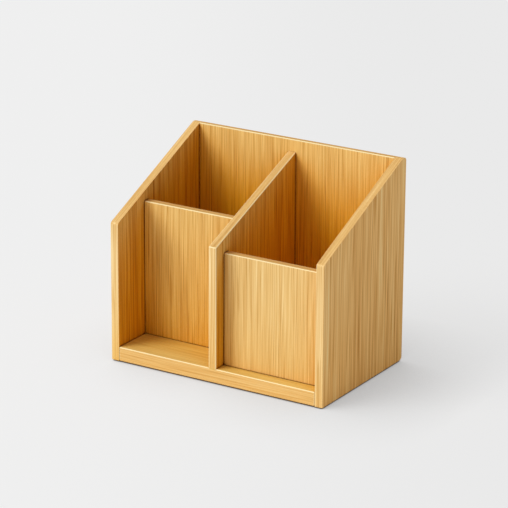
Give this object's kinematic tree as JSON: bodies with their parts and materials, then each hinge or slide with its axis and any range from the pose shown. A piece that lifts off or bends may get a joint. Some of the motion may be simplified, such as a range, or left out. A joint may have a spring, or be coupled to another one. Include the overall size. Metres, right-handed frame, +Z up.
{
  "type": "desk organizer",
  "caption": "Open bamboo desk organizer with sloped sides, a divider, upright bins behind lower front panels, a thick base with a front ledge and thin anti-slip pads.",
  "frame": {"origin": "on the desk, at the middle of the organizer's width and depth", "axes": "+X to the right seen from the front, along the width; +Y from the front to the back panel; +Z up"},
  "size_m": [0.2, 0.128, 0.1745],
  "materials": {
    "bamboo_side_left": "satin clear varnish over upright bamboo grain",
    "bamboo_side_right": "satin clear varnish over upright bamboo grain",
    "bamboo_divider": "satin clear varnish over upright bamboo grain",
    "bamboo_back": "satin clear varnish over upright bamboo grain",
    "bamboo_base": "satin clear varnish over bamboo grain that runs along the width",
    "bamboo_panel_left": "satin clear varnish over upright bamboo grain",
    "bamboo_panel_right": "satin clear varnish over upright bamboo grain",
    "dowel_wood": "raw",
    "pad_rubber": "matte"
  },
  "bodies": {
    "root": {"left_side": "bamboo_side_left", "right_side": "bamboo_side_right", "divider": "bamboo_divider", "back_panel": "bamboo_back", "base_board": "bamboo_base", "left_panel": "bamboo_panel_left", "right_panel": "bamboo_panel_right", "dowels_left_side_base": "dowel_wood", "dowels_right_side_base": "dowel_wood", "dowels_left_side_back": "dowel_wood", "dowels_right_side_back": "dowel_wood", "dowels_base_back": "dowel_wood", "dowels_divider_base": "dowel_wood", "dowels_divider_back": "dowel_wood", "dowels_left_panel_side": "dowel_wood", "dowels_left_panel_divider": "dowel_wood", "dowels_left_panel_base": "dowel_wood", "dowels_right_panel_side": "dowel_wood", "dowels_right_panel_divider": "dowel_wood", "dowels_right_panel_base": "dowel_wood", "pad_front_left": "pad_rubber", "pad_front_right": "pad_rubber", "pad_rear_left": "pad_rubber", "pad_rear_right": "pad_rubber"}
  },
  "joints": []
}
